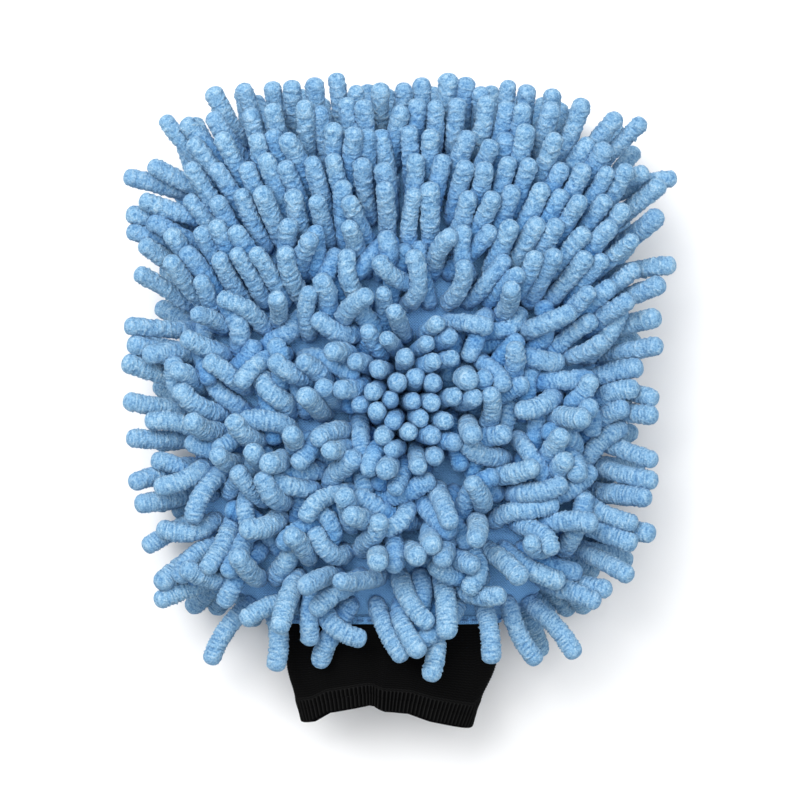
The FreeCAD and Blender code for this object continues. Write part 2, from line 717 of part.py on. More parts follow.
def build():
    inside_cloth = CLOTH_THICKNESS + LAYER_GAP
    nodes = {}
    for side, sign in (("front", 1), ("back", -1)):
        nodes[side + "_panel"] = cloth(CLOTH_START, 0.0, CLOTH_THICKNESS, sign)
        lining_start = cuff_start() + LAYER_GAP
        nodes[side + "_lining"] = cloth(lining_start, inside_cloth, LINING_THICKNESS, sign)
    nodes["side_seam_thread"] = side_seam_thread()
    nodes["mouth_hem"] = mouth_hem()
    nodes["cuff_knit"] = cuff_knit()
    nodes["cuff_welt"] = cuff_welt()
    nodes["cuff_elastic_yarns"] = cuff_elastic_yarns()
    nodes["cuff_seam_thread"] = cuff_seam_thread()
    noodles = sow(front=True) + sow_hollow() + sow(front=False)
    pack_pile(noodles)
    nodes.update(pile_nodes(noodles))
    shift = centring(noodles)
    print("noodles", len(noodles), "shift", shift, "overlap", deepest_overlap(noodles))
    os.makedirs("parts", exist_ok=True)
    for name, shape in nodes.items():
        shape.translate(shift)
        shape.exportStep(os.path.join("parts", name + ".step"))


build()
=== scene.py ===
import math

import bmesh
import bpy
import numpy as np
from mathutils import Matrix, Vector
from mathutils.bvhtree import BVHTree
from mathutils.kdtree import KDTree


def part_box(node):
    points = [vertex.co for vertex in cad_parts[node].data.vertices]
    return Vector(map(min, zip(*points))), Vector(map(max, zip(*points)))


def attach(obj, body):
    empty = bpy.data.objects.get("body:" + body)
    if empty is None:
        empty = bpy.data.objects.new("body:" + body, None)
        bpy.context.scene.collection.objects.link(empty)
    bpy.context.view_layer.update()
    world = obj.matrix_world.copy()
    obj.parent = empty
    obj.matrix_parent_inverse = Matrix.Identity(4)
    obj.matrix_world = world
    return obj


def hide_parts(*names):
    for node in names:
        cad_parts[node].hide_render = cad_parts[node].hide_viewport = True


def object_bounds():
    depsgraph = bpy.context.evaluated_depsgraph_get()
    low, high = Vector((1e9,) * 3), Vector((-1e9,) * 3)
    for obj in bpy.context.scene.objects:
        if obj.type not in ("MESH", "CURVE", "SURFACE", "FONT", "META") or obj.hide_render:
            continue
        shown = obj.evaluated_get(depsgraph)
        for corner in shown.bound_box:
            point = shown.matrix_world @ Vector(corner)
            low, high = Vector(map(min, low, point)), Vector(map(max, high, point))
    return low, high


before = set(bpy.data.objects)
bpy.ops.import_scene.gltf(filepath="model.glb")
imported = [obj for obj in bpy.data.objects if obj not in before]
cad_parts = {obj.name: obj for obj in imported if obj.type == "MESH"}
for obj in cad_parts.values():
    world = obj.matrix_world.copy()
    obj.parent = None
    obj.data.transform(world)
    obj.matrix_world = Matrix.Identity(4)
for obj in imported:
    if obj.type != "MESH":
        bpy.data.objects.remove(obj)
cad_low, cad_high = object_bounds()

MM = 0.001
SEED = 7

# ---- sizes, in metres ----
# Chenille noodles.
CAD_RADIUS = 3.6 * MM
YARN_RADIUS = 3.82 * MM
RUFFLED_SWELL = 0.26 * MM      # ruffled noodles stand this much thicker than combed ones
YARN_RADIUS_SPREAD = 0.16 * MM
YARN_RADIUS_LIMIT = 0.32 * MM
ROOT_RISE = 3.75 * MM          # from the cloth to the centre of the CAD noodle's first dome
SURE_MISS = 0.5 * MM           # an end this much nearer to ROOT_RISE than the other is surely the root
LEAST_MISS = 0.15 * MM         # below this the line of the row's sure roots decides
WELD_STEP = 0.002 * MM
CHAIN_LINKS = 10               # points along a noodle while it settles
RINGS = 58
AROUND = 22
TIP_RINGS = 8
TIP_ROUND = 84.0               # degrees of the tip's dome; a last point closes it
TIP_BLUNTNESS = 2.3            # 2 is a half ball, more is blunter
TIP_POINT = 0.012
SWELL = 0.035                  # slow thick and thin places, as a share of the radius
SWELL_LENGTH = 9.0 * MM
ANY_LAG = 6.28                 # random lags of waves, up to a full turn
RIB_PITCH = 1.3 * MM
RIB_PITCH_SPREAD = (0.88, 1.16)
RIB_TILT = 0.9
RIB_DRIFT = 0.25
RIB_HEIGHT = 0.12 * MM
STRAND_HEIGHT = 0.16 * MM      # short broken ribs
STRAND_LIMIT = 3.0             # their random heights are cut off here, before
STRAND_SCALE = 2.2             # they are brought down to about one
LOOP_HEIGHT = 0.15 * MM
NECK_SHARE = 0.74              # how thick a noodle is where it leaves the cloth
NECK_LENGTH = 5.0 * MM
BURIED_REACH = 12.0 * MM       # neighbours this near add to a noodle's painted shade
BURIED_COVER = 2.6             # as many neighbouring points above it bury a point in painted shade
# How the noodles lie: combed ones keep in line, ruffled ones turn, curl and fall over. Angles in degrees.
COMBED_TURN = 4.0
RUFFLED_TURN = 30.0
FALLEN_TURN = 80.0
COMBED_TILT = 4.5
RUFFLED_TILT = 11.0
TILT_LIMIT = 1.5
COMBED_CURL = 12.0
RUFFLED_CURL = 75.0
LEAST_CURL = 0.2               # share of the full curl
COMBED_DROOP = 6.0
RUFFLED_DROOP = 26.0
LEAST_DROOP = 0.3
FALLEN_LEAN = 78.0
FALLEN_SHARE = 0.5
FRINGE_TURN = 36.0
FRINGE_BELOW_Y = -0.082        # the tufts that hang over the cuff
FRINGE_RUFFLE = 0.85
SHORTEST = 0.90                # of the CAD noodle's length
LONGEST = 1.07
GATHERED_LENGTH = 0.88         # the noodles in the hollow lie deeper than their neighbours
GATHERED_THINNER = 0.25 * MM
GATHERED_HALF_WIDTH = 17.5 * MM
GATHERED_HALF_LENGTH = 31.0 * MM
SIDE_REACH = 111.5 * MM        # the tips of the longest noodles end this far to the sides
# The arch that the tips along the top end at: its crown, and how fast it falls to each side, in 1/m.
CROWN_X = -0.020
CROWN_Y = 0.1375
FALL_LEFT = 2.65
FALL_RIGHT = 1.42
LEAST_UPWARD = 0.5             # a heading's share along +Y that the arch's cut counts on
RUFFLED_BELOW_Y = 0.052        # the pile's lower half is ruffled
RUFFLED_BLEND = 0.065
HOLLOW_RUFFLE = 0.046          # the pile is ruffled this far round the hollow's middle
HOLLOW_BLEND = 0.022
FLAT_NORMAL = 0.55             # the rounded sides of the mitt, where noodles stay combed outward
FLAT_BLEND = 0.3
# Settling of the pile.
SETTLE_ROUNDS = 200
PAIR_ROUNDS = 10               # neighbours are looked up again after so many rounds
PAIR_MARGIN = 3.2 * MM
SQUASH = 0.93                  # noodles press into each other down to this share of their thickness
CROWD_POWER = 0.6              # calms a point that many neighbours push at once
STIFFNESS = 0.35               # stiff enough to keep its shape, free enough to move as a whole
PULL_BACK = 0.02               # towards where the noodle started
PULLED_SHARE = 0.7             # of the rounds
CLOTH_ROUNDS = 3               # one round in so many also lifts the noodles off the cloth
CLOTH_LOOK = 1.6               # in radii
CLOTH_PUSH = 0.8
LENGTH_ROUNDS = 2
# Cloths.
CLOTH_AROUND = 141
CLOTH_ALONG = 161
CLOTH_SKIN = 1.2 * MM
LINING_SKIN = 0.7 * MM
CLOTH_INSET = 0.02 * MM        # rays stay this far inside the cloth's two ends
CLOTH_RAYS = 900
CLOTH_RAY_REACH = 0.16
FEWEST_HITS = 20
SEAM_LOOK = 0.2 * MM           # the cloth's width is read this far off the seam's plane
INNER_SHARE = 0.9              # of the skin, from the outer face to the inner one
DIMPLE_DEPTH = 0.35 * MM
DIMPLE_REACH = 3.4 * MM
CLOTH_LOOP = 1.15 * MM         # pitch of the base cloth's knit
RIPPLES_ALONG = 12
RIPPLES_AROUND = 14
RIPPLE_HEIGHT = 0.25 * MM
# Cuff.
CUFF_AROUND = 520
CUFF_ALONG = 150
INNER_ROWS = 24                # the plain inner faces need fewer rows
WELT_ROWS = 22                 # of the rows along the cuff, those on the end band
COURSE_PITCH = 1.15 * MM
WALE_PITCH = 1.65 * MM
KNIT_RELIEF = 0.26 * MM
WELT_RIB_PITCH = 1.65 * MM
WELT_RIB_HEIGHT = 0.38 * MM
RIDGE_FULL = 0.36 * MM         # relief that takes the full painted brightness of a ridge
WELT_LIP = 0.4 * MM            # the CAD band stands this proud; here it lies flush
WELT_EDGE = 0.9 * MM
RIBBED_BAND = 9.4 * MM         # the ribs run on from the end band into the tube
RIBBED_BLEND = 1.2 * MM
WELT_CORD = 0.18 * MM          # the raised course that closes the ribs
CUFF_SKIN = 1.6 * MM
HEM_SKIN = 1.1 * MM
HEM_ROWS = 16
HEM_SHARE = 0.6                # of the band's rib height
ELASTIC_RADIUS = 0.45 * MM
ELASTIC_SIDES = 8
ELASTIC_STEP = 4               # of the cuff's columns, one in so many is used
WAVE_FADE = 1.15
FOLD_FADE = 0.8
# Shares of the way from the end's left edge to its right edge, and how far it is drawn up there, in mm.
END_WAVE_PLACES = (0.0, 0.08, 0.16, 0.37, 0.42, 0.485, 0.63, 0.75, 0.97, 1.0)
END_WAVE_RISES = (2.2, 3.4, 7.2, 10.4, 10.1, 7.9, 7.0, 3.7, 0.0, 2.2)
# Folds: turn from +X over +Z in radians, reach in radians, height in mm.
CUFF_FOLDS = ((2.35, 0.35, -2.0), (1.85, 0.22, 1.2), (1.2, 0.3, -0.9), (4.4, 0.5, -1.2))
# Rays that read the CAD cloths and tubes.
EDGE_MISS = 0.05 * MM
RAY_START = 50.0 * MM
RAYS_ROUND = 720
TINY = 1e-12                   # stands in for a length of nothing

WHITE = (1.0, 1.0, 1.0)
COLUMN = np.arange(CUFF_AROUND)[None] / CUFF_AROUND    # share of the way round the cuff

FRONT_ROWS = sorted(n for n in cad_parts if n.startswith("front_noodles_"))
BACK_ROWS = sorted(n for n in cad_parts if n.startswith("back_noodles_"))


# ---- camera: straight down on the front, cuff at the bottom of the picture ----
PICTURE_MARGIN = 0.8160        # share of the picture's height that the mitt fills
PICTURE_SHIFT = 1.3 * MM       # the mitt hangs this much below the picture's middle
LENS = 120.0
SENSOR = 36.0


def make_camera():
    seam_height = 0.5 * (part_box("front_panel")[0].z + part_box("back_panel")[1].z)
    middle = (cad_low + cad_high) / 2
    picture = (cad_high.y - cad_low.y) / PICTURE_MARGIN
    data = bpy.data.cameras.new("camera")
    data.lens = LENS
    data.sensor_width = SENSOR
    camera = placed("camera", data)
    camera.location = (middle.x, middle.y + PICTURE_SHIFT, seam_height + picture * LENS / SENSOR)
    bpy.context.scene.camera = camera


# ---- mesh help ----
def placed(name, data):
    """A new object in the scene."""
    thing = bpy.data.objects.new(name, data)
    bpy.context.scene.collection.objects.link(thing)
    return thing


def mesh_piece(name, points, faces, material):
    mesh = bpy.data.meshes.new(name)
    faces = np.asarray(faces, dtype=np.int32)
    corners = faces.shape[1]
    mesh.vertices.add(len(points))
    mesh.vertices.foreach_set("co", np.asarray(points, dtype=np.float32).ravel())
    mesh.loops.add(faces.size)
    mesh.loops.foreach_set("vertex_index", faces.ravel())
    mesh.polygons.add(len(faces))
    mesh.polygons.foreach_set("loop_start", np.arange(0, faces.size, corners, dtype=np.int32))
    mesh.update(calc_edges=True)
    mesh.validate()
    mesh.polygons.foreach_set("use_smooth", [True] * len(mesh.polygons))
    mesh.materials.append(material)
    return placed(name, mesh)


def grid_faces(rows, columns, closed):
    """Quads of a grid of points, row by row; closed joins the last column to the first."""
    span = columns if closed else columns - 1
    row, column = np.meshgrid(np.arange(rows - 1), np.arange(span), indexing="ij")
    following = (column + 1) % columns
    a = row * columns + column
    b = row * columns + following
    return np.stack([a, b, b + columns, a + columns], axis=-1).reshape(-1, 4)


def paint(piece, name, values):
    """Stores one number per point, which the piece's material reads."""
    attribute = piece.data.attributes.new(name, "FLOAT", "POINT")
    attribute.data.foreach_set("value", np.asarray(values, dtype=np.float32).ravel())


def register(piece, node):
    """The piece stands in for a CAD node, which it hides, and rides on the one body."""
    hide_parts(node)
    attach(piece, "root")


def unit(vectors):
    return vectors / np.maximum(np.linalg.norm(vectors, axis=-1, keepdims=True), TINY)


def steps(points, axis):
    """Distances between neighbours along one axis of an array of points."""
    return np.linalg.norm(np.diff(points, axis=axis), axis=-1)


def evenly(line, count, closed=False):
    """Points at even steps along a line; a closed line's last point is its first and isn't repeated."""
    run = np.concatenate([[0.0], np.cumsum(steps(line, 0))])
    even = np.linspace(0.0, run[-1], count, endpoint=not closed)
    return np.stack([np.interp(even, run, line[:, k]) for k in range(3)], axis=1)


def tree_of(points):
    tree = KDTree(len(points))
    for k, point in enumerate(points):
        tree.insert(point, k)
    tree.balance()
    return tree


def smoothstep(x):
    x = np.clip(x, 0.0, 1.0)
    return x * x * (3.0 - 2.0 * x)


# ---- materials ----
SHEEN_ROUGHNESS = 0.45


def set_sockets(node, values):
    for socket, value in values.items():
        node.inputs[socket].default_value = value


class Shader:
    """A material's node tree, with short calls to add and join nodes."""

    def __init__(self, name):
        self.material = bpy.data.materials.new(name)
        self.material.use_nodes = True
        self.tree = self.material.node_tree
        self.surface = self.tree.nodes["Principled BSDF"]
        self.place = self.add("ShaderNodeTexCoord").outputs["Object"]

    def add(self, kind, **settings):
        node = self.tree.nodes.new(kind)
        for key, value in settings.items():
            setattr(node, key, value)
        return node

    def link(self, output, node, socket):
        self.tree.links.new(output, node.inputs[socket])

    def texture(self, kind, sockets, **settings):
        """A texture that keeps to the piece's own coordinates."""
        node = self.add(kind, **settings)
        self.link(self.place, node, "Vector")
        set_sockets(node, sockets)
        return node.outputs

    def noise(self, scale, detail=3.0, roughness=0.55):
        sockets = {"Scale": scale, "Detail": detail, "Roughness": roughness}
        return self.texture("ShaderNodeTexNoise", sockets)["Fac"]

    def attribute(self, name):
        return self.add("ShaderNodeAttribute", attribute_name=name).outputs["Fac"]

    def ramp(self, factor, stops):
        node = self.add("ShaderNodeValToRGB")
        self.link(factor, node, "Fac")
        while len(node.color_ramp.elements) < len(stops):
            node.color_ramp.elements.new(0.5)
        for element, (position, colour) in zip(node.color_ramp.elements, stops):
            element.position = position
            element.color = (*colour, 1.0)
        return node.outputs["Color"]

    def tint(self, colour, factor, stops, blend_type="MULTIPLY"):
        """The colour times (or plus) a ramp."""
        node = self.add("ShaderNodeMix", data_type="RGBA", blend_type=blend_type)
        node.inputs[0].default_value = 1.0
        self.link(colour, node, 6)
        self.link(self.ramp(factor, stops), node, 7)
        return node.outputs[2]

    def math(self, operation, a, b=0.0):
        node = self.add("ShaderNodeMath", operation=operation)
        for socket, value in enumerate((a, b)):
            if isinstance(value, (int, float)):
                node.inputs[socket].default_value = value
            else:
                self.link(value, node, socket)
        return node.outputs[0]

    def total(self, first, *others):
        """The sum of some values, each times its share."""
        result = self.math("MULTIPLY", *first)
        for part in others:
            result = self.math("ADD", result, self.math("MULTIPLY", *part))
        return result

    def bump(self, height, distance, strength=1.0, under=None):
        node = self.add("ShaderNodeBump")
        self.link(height, node, "Height")
        set_sockets(node, {"Distance": distance, "Strength": strength})
        if under is not None:
            self.link(under, node, "Normal")
        return node.outputs["Normal"]

    def finish(self, colour, normal, roughness, specular=0.25, sheen=0.0, sheen_tint=WHITE):
        self.link(colour, self.surface, "Base Color")
        if normal is not None:
            self.link(normal, self.surface, "Normal")
        set_sockets(self.surface, {
            "Roughness": roughness,
            "Specular IOR Level": specular,
            "Sheen Weight": sheen,
            "Sheen Roughness": SHEEN_ROUGHNESS,
            "Sheen Tint": (*sheen_tint, 1.0),
        })
        return self.material


def chenille_material():
    """Looped microfibre with painted light and shade: pale on the ridges, painted shade in deeper blue
    between them and down in the pile.
    """
    shader = Shader("chenille_pile")
    clumps = shader.noise(1150.0, detail=2.0, roughness=0.6)
    fibres = shader.noise(1900.0, roughness=0.75)
    loops = shader.texture("ShaderNodeTexVoronoi", {"Scale": 1300.0}, feature="SMOOTH_F1")["Distance"]
    woolly = shader.total((clumps, 0.35), (fibres, 0.65))
    # The colour follows the relief's height: partly the fibres' own fleck, partly painted highlight on the
    # ridges and painted shade in the grooves.
    height = shader.total((shader.attribute("ridge"), 0.45), (woolly, 1.0), (loops, -0.44))
    colour = shader.ramp(height, (
        (0.29, (0.095, 0.232, 0.415)),
        (0.54, (0.224, 0.412, 0.598)),
        (0.77, (0.405, 0.585, 0.715)),
    ))
    for attribute, stops in (
        # along: painted shade, darker towards each noodle's root low in the pile.
        ("along", ((0.0, (0.60, 0.72, 0.88)), (0.4, (0.96, 0.98, 1.00)))),
        # deep: painted shade, deep blue down in the pile where neighbouring noodles cover a point.
        ("deep", ((0.06, WHITE), (0.40, (0.47, 0.70, 0.92)), (0.78, (0.04, 0.20, 0.60)))),
        ("shade", ((0.0, (0.86, 0.90, 0.95)), (1.0, WHITE))),
    ):
        colour = shader.tint(colour, shader.attribute(attribute), stops)
    fine = shader.bump(woolly, 0.75 * MM)
    normal = shader.bump(shader.math("SUBTRACT", 1.0, loops), 0.38 * MM, 0.8, under=fine)
    return shader.finish(colour, normal, 0.95, specular=0.08, sheen=0.14, sheen_tint=(0.70, 0.86, 1.0))


def knit_height(shader):
    """Height of a plain knit: rows of V-shaped loops, from the counts of wales and courses."""
    across = shader.math("FRACT", shader.attribute("wale"))
    side = shader.math("ABSOLUTE", shader.math("SUBTRACT", across, 0.5))
    slant = shader.math("ADD", shader.attribute("course"), shader.math("MULTIPLY", side, 1.1))
    row, groove = (shader.math("SINE", shader.math("MULTIPLY", v, 2.0 * math.pi)) for v in (slant, side))
    return shader.total((row, 0.25), (groove, 0.5))


def cloth_material(name, dark, light, sheen):
    shader = Shader(name)
    knit = knit_height(shader)
    fibres = shader.noise(3000.0, detail=2.0)
    height = shader.math("ADD", shader.math("ADD", knit, 0.35), shader.math("MULTIPLY", fibres, 0.3))
    # The colour follows the knit's height: painted shade between the loops, lighter on them, with the
    # fibres' own fleck.
    colour = shader.ramp(height, ((0.1, dark), (0.9, light)))
    uneven = shader.noise(60.0, detail=2.0)
    colour = shader.tint(colour, uneven, ((0.3, (0.88, 0.90, 0.93)), (0.7, WHITE)))
    fine = shader.bump(fibres, 0.12 * MM, 0.6)
    normal = shader.bump(knit, 0.30 * MM, under=fine)
    return shader.finish(colour, normal, 0.92, sheen=sheen, sheen_tint=(0.5, 0.75, 1.0))


def black_knit_material():
    """Black polyester knit: painted highlight where the raised yarns catch a little light, painted shade in
    the gaps.
    """
    shader = Shader("black_knit")
    fibres = shader.noise(3500.0, roughness=0.7)
    lint = shader.noise(420.0, detail=4.0, roughness=0.75)
    # Lighter with the ridge's relief: painted highlight on the raised yarns, painted shade in the gaps; the
    # lint is the knit's own.
    colour = shader.ramp(shader.total((shader.attribute("ridge"), 0.75), (fibres, 0.3)), (
        (0.30, (0.0006, 0.0006, 0.0007)),
        (0.65, (0.0032, 0.0032, 0.0033)),
        (0.95, (0.0125, 0.0125, 0.0124)),
    ))
    colour = shader.tint(colour, lint, ((0.64, (0.0, 0.0, 0.0)), (0.80, (0.004, 0.004, 0.004))), "ADD")
    return shader.finish(colour, shader.bump(fibres, 0.20 * MM, 0.7), 0.9, specular=0.04)


def thread_material(name, dark, light):
    """Twisted sewing thread: fine slanting strands."""
    shader = Shader(name)
    settings = {"wave_type": "BANDS", "bands_direction": "DIAGONAL"}
    strands = shader.texture("ShaderNodeTexWave", {"Scale": 900.0, "Distortion": 1.5}, **settings)["Fac"]
    height = shader.total((strands, 0.6), (shader.noise(4000.0), 0.4))
    # The colour follows the strands' height: painted shade between the strands, lighter on them.
    colour = shader.ramp(height, ((0.2, dark), (0.8, light)))
    return shader.finish(colour, shader.bump(height, 0.10 * MM, 0.8), 0.6, sheen=0.1)


def floor_material():
    """Smooth pale board with the faintest unevenness."""
    shader = Shader("studio_floor")
    cloudy = shader.noise(3.0, detail=2.0)
    colour = shader.ramp(cloudy, ((0.0, (0.86, 0.86, 0.86)), (1.0, (0.88, 0.88, 0.88))))
    return shader.finish(colour, None, 0.9)


# ---- noodles: where the CAD rows put them ----
def solids_of(name):
    """The points of each separate solid of a node, welded by place."""
    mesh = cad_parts[name].data
    points = np.zeros(len(mesh.vertices) * 3)
    mesh.vertices.foreach_get("co", points)
    points = points.reshape(-1, 3)
    edges = np.zeros(len(mesh.edges) * 2, dtype=np.int64)
    mesh.edges.foreach_get("vertices", edges)
    _, weld = np.unique(np.round(points / WELD_STEP).astype(np.int64), axis=0, return_inverse=True)
    weld = weld.ravel()
    label = np.arange(weld.max() + 1)
    a, b = weld[edges].reshape(-1, 2).T
    while True:
        before = label.copy()
        low = np.minimum(label[a], label[b])
        np.minimum.at(label, a, low)
        np.minimum.at(label, b, low)
        label = label[label]
        if (label == before).all():
            break
    group = label[weld]
    return [points[group == g] for g in np.unique(group)]


def surface_of(*names):
    points, triangles = [], []
    for name in names:
        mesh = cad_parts[name].data
        mesh.calc_loop_triangles()
        start = len(points)
        points += [v.co.copy() for v in mesh.vertices]
        triangles += [[start + v for v in t.vertices] for t in mesh.loop_triangles]
    return BVHTree.FromPolygons(points, triangles)


def rod_ends(points):
    """Centres of the two domes of a straight rod."""
    middle = points.mean(0)
    _, _, axes = np.linalg.svd(points - middle, full_matrices=False)
    reach = (points - middle) @ axes[0]
    centre = middle + axes[0] * (reach.max() + reach.min()) / 2
    half = (reach.max() - reach.min()) / 2 - CAD_RADIUS
    return centre - axes[0] * half, centre + axes[0] * half


def read_noodles(rows, cloth):
    """Row, root, tip, cloth direction and place on the cloth of every noodle of one side."""
    found = []
    for row, name in enumerate(rows):
        ends = [rod_ends(points) for points in solids_of(name)]
        misses = [[abs(cloth.find_nearest(Vector(end))[3] - ROOT_RISE) for end in pair] for pair in ends]
        sure = [
            pair[int(miss[1] < miss[0])][1] for pair, miss in zip(ends, misses)
            if abs(miss[0] - miss[1]) > SURE_MISS
        ]
        line = float(np.median(sure))
        for pair, miss in zip(ends, misses):
            if abs(miss[0] - miss[1]) > LEAST_MISS:
                swap = miss[1] < miss[0]
            else:
                swap = abs(pair[1][1] - line) < abs(pair[0][1] - line)
            root, tip = (pair[1], pair[0]) if swap else pair
            place = np.array(cloth.find_nearest(Vector(root))[0])
            found.append((row, root, tip, unit(root - place), place))
    return found


# ---- noodles: how they lie ----
def ruffling(root, normal, hollow):
    """How ruffled the pile is at a root: 0 combed, 1 fully ruffled; the back is combed all over."""
    if hollow is None:
        return 0.0
    if root[1] < FRINGE_BELOW_Y:
        return FRINGE_RUFFLE
    away = math.hypot(root[0] - hollow.x, root[1] - hollow.y)
    low = smoothstep((RUFFLED_BELOW_Y - root[1]) / RUFFLED_BLEND)
    near = 1.0 - smoothstep((away - HOLLOW_RUFFLE) / HOLLOW_BLEND)
    return float(max(low, near) * smoothstep((normal[2] - FLAT_NORMAL) / FLAT_BLEND))


def blend(combed, ruffled, share):
    return combed + (ruffled - combed) * share


def lie_of(root, heading, ruffled, chance):
    """Azimuth, lean at the root, lean at the tip and sideways curl of a loose noodle, in radians."""
    azimuth = math.degrees(math.atan2(heading[1], heading[0]))
    lean = math.degrees(math.acos(min(abs(heading[2]), 1.0)))
    turn = blend(COMBED_TURN, RUFFLED_TURN, ruffled)
    tilt = blend(COMBED_TILT, RUFFLED_TILT, ruffled)
    curl = blend(COMBED_CURL, RUFFLED_CURL, ruffled) * chance.choice([-1.0, 1.0])
    curl *= chance.uniform(LEAST_CURL, 1.0)
    droop = blend(COMBED_DROOP, RUFFLED_DROOP, ruffled) * chance.uniform(LEAST_DROOP, 1.0)
    fallen = chance.random() < FALLEN_SHARE * ruffled
    if root[1] < FRINGE_BELOW_Y:
        turn = FRINGE_TURN
    elif fallen:
        turn = FALLEN_TURN
        lean = FALLEN_LEAN
    azimuth += turn * chance.normal()
    lean += tilt * float(np.clip(chance.normal(), -TILT_LIMIT, TILT_LIMIT))
    return [math.radians(value) for value in (azimuth, lean - droop, lean + droop, curl)]


def trimmed(length, heading, tip):
    """A noodle's length after the longest ones are cut back to the mitt's outline, by a third at most."""
    beside = max(abs(tip[0]) - SIDE_REACH, 0.0)
    off_crown = tip[0] - CROWN_X
    fall = FALL_LEFT if off_crown < 0 else FALL_RIGHT
    above = max(tip[1] - CROWN_Y + fall * off_crown ** 2, 0.0) / max(heading[1], LEAST_UPWARD)
    return length - min(max(beside, above), length / 3)


def first_lines(noodles, chance, hollow, gathered):
    """A bent centreline for each noodle: out of the cloth, over, and along the CAD noodle with a curl."""
    share = np.linspace(0.0, 1.0, CHAIN_LINKS)
    lines = np.zeros((len(noodles), CHAIN_LINKS, 3))
    for k, (_, root, tip, normal, place) in enumerate(noodles):
        length = np.linalg.norm(tip - root)
        heading = (tip - root) / length
        azimuth, lean, tip_lean, curl = lie_of(root, heading, ruffling(root, normal, hollow), chance)
        if gathered[k]:
            azimuth = math.atan2(heading[1], heading[0])
            lean = tip_lean = math.acos(min(abs(heading[2]), 1.0))
            curl = 0.0
            length *= GATHERED_LENGTH
        else:
            length *= chance.uniform(SHORTEST, LONGEST)
            length = trimmed(length, heading, root + heading * length)
        rise = np.linalg.norm(root - place)
        distance = share * (rise + length)
        past = np.maximum(distance - rise, 0.0)
        middle = (past[1:] + past[:-1]) / 2 / length
        leans = lean + (tip_lean - lean) * middle
        turns = azimuth + curl * (middle - 0.5)
        upward = math.copysign(1.0, heading[2])
        level = np.sin(leans)
        ways = np.stack([level * np.cos(turns), level * np.sin(turns), upward * np.cos(leans)], axis=1)
        run = np.cumsum(ways * np.diff(past)[:, None], axis=0)
        lines[k] = place + normal * np.minimum(distance, rise)[:, None]
        lines[k, 1:] += run
    return lines


def near_pairs(points, owner, reach):
    tree = tree_of(points)
    pairs = []
    for k, point in enumerate(points):
        for _, other, _ in tree.find_range(point, reach):
            if other > k and owner[other] != owner[k]:
                pairs.append((k, other))
    return np.array(pairs)


def settle(lines, radii, cloth, rounds):
    """Pushes the noodles apart and off the cloth, keeps their length and their gentle bends."""
    count, links, _ = lines.shape
    rest = lines.copy()
    spans = steps(lines, 1)
    owner = np.repeat(np.arange(count), links)
    position = np.tile(np.arange(links), count)
    radius = np.repeat(radii, links)
    bends = rest[:, 1:-1] - (rest[:, :-2] + rest[:, 2:]) / 2
    for step in range(rounds):
        flat = lines.reshape(-1, 3)
        if step % PAIR_ROUNDS == 0:
            pairs = near_pairs(flat, owner, 2.0 * YARN_RADIUS + PAIR_MARGIN)
            # The two first points of a noodle sit in the cloth, and neighbours may touch there.
            a, b = pairs[(position[pairs] > 1).any(1)].T
        gap = flat[a] - flat[b]
        deep = np.maximum((radius[a] + radius[b]) * SQUASH - np.linalg.norm(gap, axis=1), 0.0)
        push = unit(gap) * (0.5 * deep)[:, None]
        size = len(flat)
        moved = np.stack([
            np.bincount(a, push[:, axis], size) - np.bincount(b, push[:, axis], size) for axis in range(3)
        ], axis=1)
        hit = (deep > 0).astype(float)
        times = np.bincount(a, hit, size) + np.bincount(b, hit, size)
        flat = flat + moved / np.maximum(times, 1.0)[:, None] ** CROWD_POWER
        lines = flat.reshape(count, links, 3)
        lines[:, 1:-1] += STIFFNESS * ((lines[:, :-2] + lines[:, 2:]) / 2 + bends - lines[:, 1:-1])
        if step < rounds * PULLED_SHARE:
            lines += PULL_BACK * (rest - lines)
        if step % CLOTH_ROUNDS == 0 or step == rounds - 1:
            lift_off(lines, radii, cloth)
        lines[:, :, 2] = np.maximum(lines[:, :, 2], radii[:, None])
        lines[:, 0] = rest[:, 0]
        for _ in range(LENGTH_ROUNDS):
            keep_length(lines, spans)
    return lines


def lift_off(lines, radii, cloth):
    """Lifts points out to their own radius from the cloth, beyond the first bend."""
    for line, radius in zip(lines, radii):
        for point in line[2:]:
            here = Vector(point)
            place, normal, _, distance = cloth.find_nearest(here, radius * CLOTH_LOOK)
            if place is None:
                continue
            height = distance if (here - place).dot(normal) > 0 else -distance
            if height < radius:
                point += np.array(normal) * (radius - height) * CLOTH_PUSH


def keep_length(lines, spans):
    for j in range(1, lines.shape[1]):
        lines[:, j] = lines[:, j - 1] + unit(lines[:, j] - lines[:, j - 1]) * spans[:, j - 1:j]


def painted_pile_shade(lines, cloth):
    """How deep each point of each chain lies under its neighbours: 0 in the open, 1 far down. The noodles'
    painted shade follows it.
    """
    count, links, _ = lines.shape
    flat = lines.reshape(-1, 3)
    out = np.array([cloth.find_nearest(Vector(point))[1] for point in flat])
    pairs = near_pairs(flat, np.repeat(np.arange(count), links), BURIED_REACH)
    a, b = pairs[:, 0], pairs[:, 1]
    gap = flat[b] - flat[a]
    distance = np.linalg.norm(gap, axis=1)
    weight = (1.0 - distance / BURIED_REACH) / np.maximum(distance, TINY)
    over_a = np.maximum((gap * out[a]).sum(1), 0.0) * weight
    over_b = np.maximum(-(gap * out[b]).sum(1), 0.0) * weight
    cover = np.bincount(a, over_a, len(flat)) + np.bincount(b, over_b, len(flat))
    return (1.0 - np.exp(-cover / BURIED_COVER)).reshape(count, links)


